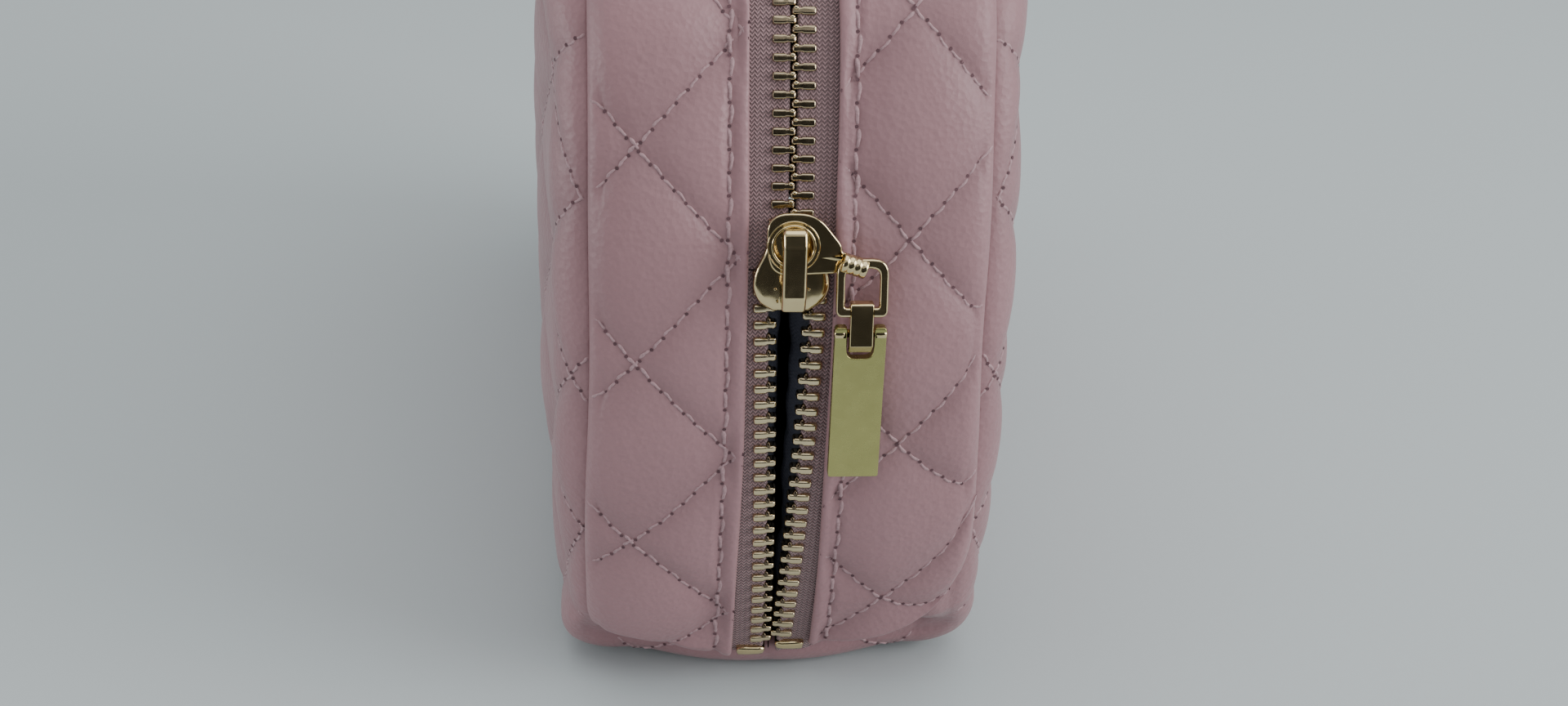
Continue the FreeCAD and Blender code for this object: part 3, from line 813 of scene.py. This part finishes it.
def swing_open(points, side):
    """Turns an open row about the line under the bottom seam that it swings on."""
    c, s = math.cos(ROW_OPEN), -side * math.sin(ROW_OPEN)
    pivot = np.array([0, side * ROW_PIVOT[0], ROW_PIVOT[1]])
    return (points - pivot) @ np.array([[1, 0, 0], [0, c, s], [0, -s, c]]) + pivot


def rounded_bar(stations, sides=20, power=8.0):
    """A bar across the chain with a softened square section: stations of (y, half length, half height)."""
    turn = full_turn(sides) + math.pi / sides
    c, s = np.cos(turn), np.sin(turn)
    scale = (np.abs(c) ** power + np.abs(s) ** power) ** (-1 / power)
    rings = [np.stack([np.full(sides, y), half_l * c * scale, half_h * s * scale], -1)
             for y, half_l, half_h in stations]
    return np.stack(rings).reshape(-1, 3), quads(len(stations), sides, wrap_columns=True)


def tooth_unit():
    """Across, onward and outward. A bar clamped on the tape, a waist and a rounded head."""
    tip, heel = TOOTH_LENGTH
    return rounded_bar([(heel, 0.02, 0.02), (heel, 0.45, 0.95), (heel - 0.12, 0.62, 1.15),
                        (heel - 0.4, 0.68, 1.2), (1.5, 0.68, 1.2), (1.15, 0.52, 1.05),
                        (0.75, 0.54, 1.0), (0.2, 0.6, 1.0), (tip + 0.2, 0.54, 0.9),
                        (tip, 0.34, 0.6), (tip, 0.02, 0.02)])


def nib_unit(which):
    """The rounded nib on the upper side of a tooth's head, clear of the heads of the other row."""
    middle, radii = NIBS[which]
    sides, rings = 12, 8
    turn = full_turn(sides)
    tilt = np.linspace(0, math.pi, rings)
    ball = np.stack([np.outer(np.sin(tilt), np.cos(turn)), np.repeat(np.cos(tilt)[:, None], sides, 1),
                     np.outer(np.sin(tilt), np.sin(turn))], -1)
    points = middle + radii * ball
    return points.reshape(-1, 3), quads(rings, sides, wrap_columns=True)


def stop_unit():
    """A wide clamp that flares towards the tape."""
    return rounded_bar([(5.9, 0.02, 0.02), (5.9, 0.7, 1.0), (5.6, 1.0, 1.3), (4.0, 0.95, 1.45),
                        (2.0, 0.85, 1.5), (1.1, 0.8, 1.35), (0.7, 0.5, 0.9), (0.7, 0.02, 0.02)])


def row_places(s, side):
    out, onward = zip_axes(s)
    across = np.tile((0.0, side, 0.0), (len(s), 1))
    return np.stack([on_zip(s, 0, 0), across, onward, out], 1)


def make_zip_row(name, which):
    """One side's tape, teeth and stop: the closed run over the top or the open run under the slider."""
    side = SIDES[name]
    closed = which == "closed"
    phase = 0.0 if side < 0 else PITCH / 2
    if closed:
        body, nodes = name + "_half", (name + "_zip_tape", name + "_zip_teeth", name + "_far_stop")
        tape_range, stop_s = (CLOSED_FROM, ZIP_LENGTH), FAR_STOP_S
        first = math.ceil((CLOSED_FROM + 0.6 - phase) / PITCH)
        last = math.floor((FAR_STOP_S - 3.4 - phase) / PITCH)
    else:
        body, nodes = name + "_row", (name + "_open_tape", name + "_open_teeth", name + "_bottom_stop")
        tape_range, stop_s = (-1.4, OPEN_TO), STOP_S[name]
        first, last = 1, math.floor((OPEN_TO - 0.6 - phase) / PITCH)
    s = phase + PITCH * np.arange(first, last + 1)

    cord = CORD_EDGE[which]
    y = np.r_[cord, cord + 0.05, cord + 0.3, cord + 0.6, TAPE_Y]
    run = np.arange(tape_range[0], tape_range[1] + 0.4, 0.8)
    s_grid, y_grid = np.meshgrid(run, y, indexing="ij")
    slant = 0.7 * np.clip(y_grid - 6, 0, None) * np.exp(-np.clip(end_distance(s_grid), 0, None) / 5)
    s_grid = s_grid + np.where(s_grid < ZIP_LENGTH / 2, slant, -slant)
    dents = 0.06 * np.sin(s_grid * 2 * math.pi / PITCH) * (y_grid < 4)
    tape_points = on_zip(s_grid, side * y_grid, np.array(TAPE_N) + dents)
    bar_points, bar_faces = copies(tooth_unit(), row_places(s, side))
    nib_points, nib_faces = copies(nib_unit(which), row_places(s, side))
    tooth_points = np.vstack([bar_points, nib_points])
    tooth_faces = np.concatenate([bar_faces, nib_faces + len(bar_points)])
    stop_points, stop_faces = copies(stop_unit(), row_places(np.array([stop_s]), side))
    if not closed:
        tape_points, tooth_points, stop_points = (swing_open(p, side)
                                                  for p in (tape_points, tooth_points, stop_points))
    prefix = f"{name}_{which}"
    tape = add_grid(prefix + "_tape_cloth", tape_points, TAPE_PAINT, "zip_tape",
                    np.stack([s_grid, y_grid], -1))
    teeth = add_mesh(prefix + "_row_of_teeth", tooth_points, tooth_faces, TOOTH_PAINTS[which], "gold_metal")
    # The second slot holds the nibs' paint: painted shade on the open run, painted highlight on the closed
    # run.
    teeth.data.materials.append(NIB_PAINTS[which])
    for nib_face in list(teeth.data.polygons)[len(bar_faces):]:
        nib_face.material_index = 1
    stop = add_mesh(prefix + "_row_stop", stop_points, stop_faces, *PLATED)
    for piece, node in zip((tape, teeth, stop), nodes):
        attach(piece, body, node)


# ---- slider and pull

SLIDER_CENTRE = tuple(on_zip(SLIDER_S, 0.0, 0.0))
UPPER_LEG_T, LOWER_LEG_T = 4.3, -5.4
RING_T, RING_HOLE = 3.1, 3.2
CLASP_T, CLASP_N = 0.8, 5.9
PULL_X, PULL_Y = 116.8, 11.0
LOOP_WIDTH, LOOP_HEIGHT = 7.0, 8.0
LINK_LENGTH = 3.8


def plane_at(origin, angle):
    """Local X across the bag, Y up the chain, Z outwards, at an angle of the end arc."""
    c, s = math.cos(angle), math.sin(angle)
    return Matrix(((0, -s, c, origin[0]), (1, 0, 0, origin[1]), (0, c, s, origin[2]), (0, 0, 0, 1)))


def profile_at(origin, angle):
    """Local X outwards, Y up the chain, and thickness across the bag."""
    c, s = math.cos(angle), math.sin(angle)
    return Matrix(((c, -s, 0, origin[0]), (0, 0, -1, origin[1]), (s, c, 0, origin[2]), (0, 0, 0, 1)))


SLIDER_FACE = plane_at(SLIDER_CENTRE, SLIDER_ANGLE)


def moved(points, place):
    matrix = np.array(place)
    return points @ matrix[:3, :3].T + matrix[:3, 3]


def rounded(corners, default_radius=0.5, steps=6):
    """A closed outline with its corners rounded: corners of (x, y) or (x, y, radius)."""
    points = []
    count = len(corners)
    for i, corner in enumerate(corners):
        here = np.array(corner[:2], float)
        radius = corner[2] if len(corner) > 2 else default_radius
        before = np.array(corners[i - 1][:2], float) - here
        after = np.array(corners[(i + 1) % count][:2], float) - here
        lengths = np.linalg.norm(before), np.linalg.norm(after)
        before, after = before / lengths[0], after / lengths[1]
        half = math.acos(float(np.clip(before @ after, -1, 1))) / 2
        reach = min(radius / math.tan(half), 0.49 * min(lengths))
        for t in np.linspace(0, 1, steps):
            a, b = here + before * reach * (1 - t), here + after * reach * t
            points.append(a * (1 - t) + b * t)
    return np.array(points)


def circle(x, y, radius, count=32):
    turn = full_turn(count)
    return np.stack([x + radius * np.cos(turn), y + radius * np.sin(turn)], -1)


def add_plate(name, loops, z_range, bevel, place, paint, slot):
    """A bevelled plate: an outline and its holes, from z_range[0] to z_range[1] of its place."""
    curve = bpy.data.curves.new(name, "CURVE")
    curve.dimensions = "2D"
    curve.fill_mode = "BOTH"
    curve.extrude = (z_range[1] - z_range[0]) / 2 - bevel
    curve.bevel_depth = bevel
    curve.bevel_resolution = 3
    curve.offset = -bevel
    for loop in loops:
        spline = curve.splines.new("POLY")
        spline.points.add(len(loop) - 1)
        flat = np.c_[loop, np.zeros(len(loop)), np.ones(len(loop))]
        spline.points.foreach_set("co", flat.ravel())
        spline.use_cyclic_u = True
    holder = add_object(name, curve)
    bpy.context.view_layer.update()
    mesh = bpy.data.meshes.new_from_object(holder.evaluated_get(bpy.context.evaluated_depsgraph_get()))
    bpy.data.objects.remove(holder)
    points = np.array([v.co for v in mesh.vertices])
    points[:, 2] += sum(z_range) / 2
    obj = add_mesh(name, moved(points, place), [list(p.vertices) for p in mesh.polygons], paint, slot)
    bpy.data.meshes.remove(mesh)
    obj.data.set_sharp_from_angle(angle=math.radians(32))
    weld = obj.modifiers.new("weld", "WELD")
    weld.merge_threshold = 0.00001
    normals = obj.modifiers.new("normals", "WEIGHTED_NORMAL")
    normals.keep_sharp = True
    return obj


def turned(name, stations, place, paint, slot, sides=40):
    """A round piece about its place's X axis: stations of (x, radius)."""
    turn = full_turn(sides)
    rings = np.stack([np.stack([np.full(sides, x), r * np.cos(turn), r * np.sin(turn)], -1)
                      for x, r in stations])
    return add_grid(name, moved(rings, place), paint, slot, wrap_columns=True)


def bell_outline():
    half = [(3.2, 6.8), (3.6, 5.6), (3.85, 3.8), (4.5, 1.4), (5.7, -1.2), (6.2, -3.2),
            (6.1, -5.0), (5.1, -6.9), (3.1, -8.2)]
    right = smooth_line(half, 0.45)
    left = right[::-1] * (-1, 1)
    top = np.stack([np.linspace(-3.0, 3.0, 9), np.full(9, 6.95)], -1)
    low = np.stack([np.linspace(2.9, -2.9, 9), np.full(9, -8.3)], -1)
    return np.vstack([right, low, left, top])


def domed_plate(name, outline, base_n, rim, dome, place, paint, slot):
    """A plate with a rounded rim and a slightly domed face."""
    steps = [(0.0, 0.0), (0.0, 0.35), (0.02, 0.6), (0.05, 0.78), (0.1, 0.9), (0.16, 0.97), (0.3, 1.0),
             (0.5, 1.0), (0.75, 1.0), (0.97, 1.0)]
    rings = []
    centre = outline.mean(0)
    for inwards, rise in steps:
        ring = outline + (centre - outline) * inwards
        height = base_n + rim * rise + dome * ease(inwards / 0.8)
        rings.append(np.c_[ring, np.full(len(ring), height)])
    return add_grid(name, moved(np.stack(rings), place), paint, slot, wrap_columns=True)


def joined(name, parts):
    """Several meshes as one piece."""
    bpy.ops.object.select_all(action="DESELECT")
    for part in parts:
        part.select_set(True)
        bpy.context.view_layer.objects.active = part
        for modifier in list(part.modifiers):
            bpy.ops.object.modifier_apply(modifier=modifier.name)
    bpy.context.view_layer.objects.active = parts[0]
    bpy.ops.object.join()
    parts[0].name = name
    return parts[0]


def make_slider():
    face = SLIDER_FACE
    outline = bell_outline()
    plates = [domed_plate("slider_top_plate", outline, 1.6, 0.9, 0.35, face, *PLATED),
              domed_plate("slider_under_plate", outline, -1.5, -0.8, 0.0, face, *PLATED)]
    for y in (-1, 1):
        flange = rounded([(y * 3.45, 6.6), (y * 3.45, -1.9), (y * 5.2, -1.9), (y * 4.3, 1.0),
                          (y * 3.75, 6.6)], 0.15)
        plates.append(add_plate(f"slider_flange_{y}", [flange], (-1.6, 1.7), 0.1, face, *PLATED))
    neck = rounded([(0, -2.6), (1.2, -3.8), (1.0, -5.8), (-1.0, -5.8), (-1.2, -3.8)], 0.3)
    plates.append(add_plate("slider_neck", [neck], (-1.6, 1.7), 0.1, face, *PLATED))
    for i, (x, t) in enumerate(((-2.7, -4.4), (2.8, -4.5), (-2.3, -6.6))):
        plates.append(add_plate(f"slider_pip_{i}", [circle(x, t, 0.22, 10)], (2.3, 3.0), 0.09, face, *PLATED))
    body = joined("slider_plates", plates)
    attach(body, "slider", "slider_body")

    high, low = UPPER_LEG_T, LOWER_LEG_T
    side_view = rounded([(2.4, high + 0.8), (5.0, high + 2.0, 1.5), (7.3, high + 2.4, 1.4),
                         (8.1, high - 0.4, 3.0), (7.7, low + 0.6, 2.4), (6.6, low - 1.9, 0.8),
                         (4.6, low - 1.7, 1.2), (2.4, low - 0.8), (2.4, low + 0.8),
                         (5.6, low + 1.0, 0.7), (6.3, low + 2.2, 1.0), (6.3, high - 1.8, 1.0),
                         (5.6, high - 0.8, 0.7), (2.4, high - 0.8)], 0.2)
    bridge = add_plate("slider_bow", [side_view], (-1.95, 1.95), 0.6,
                       profile_at(SLIDER_CENTRE, SLIDER_ANGLE), *PLATED)
    attach(bridge, "slider", "slider_bridge")


def make_connector():
    face = SLIDER_FACE
    pick = rounded([(-4.6, RING_T + 5.5, 4.6), (3.6, RING_T + 5.4, 6.0), (7.6, RING_T + 0.4, 2.5),
                    (7.9, CLASP_T + 1.4, 0.4), (8.8, CLASP_T + 1.0, 0.3), (8.6, CLASP_T - 0.8, 0.3),
                    (7.0, CLASP_T - 2.2, 1.8), (3.4, RING_T - 4.6, 2.6), (-3.8, RING_T - 5.0, 4.2)], steps=9)
    plate = add_plate("connector_plate", [pick, circle(0, RING_T, RING_HOLE)], (3.6, 4.5), 0.32, face,
                      *PLATED)
    rims = []
    for radius, tube in ((RING_HOLE + 0.95, 0.13), (RING_HOLE + 0.2, 0.24)):
        turn, tilt = full_turn(48), full_turn(10)
        around = radius + tube * np.cos(tilt)[None, :]
        points = np.stack([around * np.cos(turn)[:, None], RING_T + around * np.sin(turn)[:, None],
                           4.45 + tube * np.repeat(np.sin(tilt)[None], 48, 0)], -1)
        rims.append(add_grid(f"connector_rim_{radius}", moved(points, face), *PLATED,
                             wrap_rows=True, wrap_columns=True))
    stations = [(-2.1, 0.86), (-2.1, 1.35)]
    for k in range(4):
        start = -2.05 + 1.05 * k
        stations += [(start, 1.45), (start + 0.12, 1.62), (start + 0.83, 1.62), (start + 0.95, 1.45)]
    stations += [(2.1, 1.35), (2.1, 0.86), (-2.1, 0.86)]
    tilted = Matrix.Rotation(math.radians(-18), 4, "Z")
    clasp_place = face @ Matrix.Translation((9.6, CLASP_T - 0.4, CLASP_N)) @ tilted
    clasp = turned("connector_clasp", stations, clasp_place, *PLATED)
    piece = joined("connector_and_clasp", [plate, *rims, clasp])
    attach(piece, "connector", "pull_connector")


def make_pull():
    c, s = math.cos(SLIDER_ANGLE), math.sin(SLIDER_ANGLE)
    out = END_R + CLASP_N
    top = (END_CENTRE[0] + out * c - CLASP_T * s, END_CENTRE[1] + out * s + CLASP_T * c)
    lean = math.asin((PULL_X - top[0]) / LOOP_HEIGHT)

    place = plane_at((top[0], PULL_Y, top[1]), lean)
    half_w, rise, fall = LOOP_WIDTH / 2, 0.8, -LOOP_HEIGHT - 0.8
    ring = rounded([(-half_w - 0.7, rise, 2.6), (half_w + 0.7, rise, 2.6), (half_w + 0.7, fall, 1.2),
                    (-half_w - 0.7, fall, 1.2)])
    hole = rounded([(-half_w + 0.7, -0.8, 1.5), (half_w - 0.7, -0.8, 1.5),
                    (half_w - 0.7, 0.8 - LOOP_HEIGHT, 0.4), (-half_w + 0.7, 0.8 - LOOP_HEIGHT, 0.4)])
    loop = add_plate("pull_ring", [ring, hole], (-0.8, 0.8), 0.42, place, *PLATED)
    attach(loop, "loop", "pull_loop")

    bar_z = top[1] - LOOP_HEIGHT * math.cos(lean)
    pin_z = bar_z - LINK_LENGTH
    low = -LINK_LENGTH - 3.0
    strap = rounded([(-1.3, 1.7, 1.4), (0.9, 1.7, 0.9), (1.05, 0.6, 0.4), (1.95, low + 1.5, 0.15),
                     (0.9, low, 0.2), (-0.6, low, 0.4), (-1.2, -2.2, 0.8), (-1.7, 0, 1.0)])
    link = add_plate("pull_strap", [strap, circle(0, 0, 0.95)], (-1.9, 1.9), 0.28,
                     profile_at((PULL_X, PULL_Y, bar_z), 0.0), *PLATED)
    attach(link, "link", "pull_link")

    place = plane_at((PULL_X, PULL_Y, pin_z), 0.0)
    outline = rounded([(-4.2, 1.3, 0.7), (-2.2, 1.3, 0.5), (-2.2, -4.2, 1.5), (2.2, -4.2, 1.5),
                       (2.2, 1.3, 0.5), (4.2, 1.3, 0.7), (4.2, -26.2, 0.45), (-4.2, -26.2, 0.45)], steps=8)
    tag = add_plate("pull_tag_plate", [outline], (-0.85, 0.85), 0.16, place, SATIN_PAINT, "satin_gold")
    attach(tag, "tag", "pull_tag")
    half_pin = [(4.3, 0.02), (4.3, 0.7), (4.1, 0.98), (2.45, 0.98), (2.3, 0.7)]
    pin = turned("pull_tag_cross_pin", [(-x, r) for x, r in half_pin] + half_pin[::-1], place, *PLATED)
    attach(pin, "tag", "pull_tag_pin")


# ---- floor and light

FLOOR = (0.50, 0.552, 0.56)


def make_floor():
    paint = Paint("floor_paper", FLOOR, 0.9)
    paint.shade(paint.mottle(3, 2, 0.985, 1.015))
    paint.bump(paint.noise(300, 3), 0.05)
    corners = [(-2500, -2500, 0), (2500, -2500, 0), (2500, 2500, 0), (-2500, 2500, 0)]
    add_mesh("floor", corners, [(0, 1, 2, 3)], paint.material)


def add_light(name, place, aim, size, power):
    data = bpy.data.lights.new(name, "AREA")
    data.shape = "RECTANGLE"
    data.size, data.size_y = size
    data.energy = power
    light = add_object(name, data)
    light.location = place
    light.rotation_euler = (Vector(aim) - Vector(place)).to_track_quat("-Z", "Y").to_euler()


def make_flag():
    """A black card under and behind the camera, which only polished surfaces see."""
    paint = Paint("flag_black", (0.012, 0.011, 0.010), 0.9)
    paint.shade(paint.mottle(6, 2, 0.8, 1.2))
    line = ((350, 3), (470, 3), (470, 330))
    corners = [(x, y, z) for x, z in line for y in (-420, 380)]
    flag = add_mesh("flag", corners, quads(3, 2), paint.material)
    flag.visible_camera = False
    flag.visible_diffuse = False
    flag.visible_shadow = False


def make_lights():
    world = bpy.data.worlds.new("studio")
    world.use_nodes = True
    background = world.node_tree.nodes["Background"]
    background.inputs["Color"].default_value = (0.93, 0.97, 1.0, 1)
    background.inputs["Strength"].default_value = 0.5
    bpy.context.scene.world = world
    add_light("overhead", (0.1, 0.1, 1.3), (0.05, 0, 0.05), (1.6, 1.6), 10)
    add_light("window", (0.6, 1.3, 0.6), (0.1, 0.1, 0.05), (1.0, 0.9), 17)
    add_light("front", (1.3, 0.1, 0.45), (0.1, 0, 0.05), (1.0, 0.7), 2)
    add_light("left", (0.15, -1.1, 0.16), (0.08, -0.04, 0.07), (0.7, 0.25), 3.5)
    make_flag()


# ---- build

for half in SIDES:
    make_gusset(half)
    make_wrap(half)
    make_linings(half)
    make_zip_row(half, "closed")
    make_zip_row(half, "open")
make_slider()
make_connector()
make_pull()
make_floor()
make_lights()
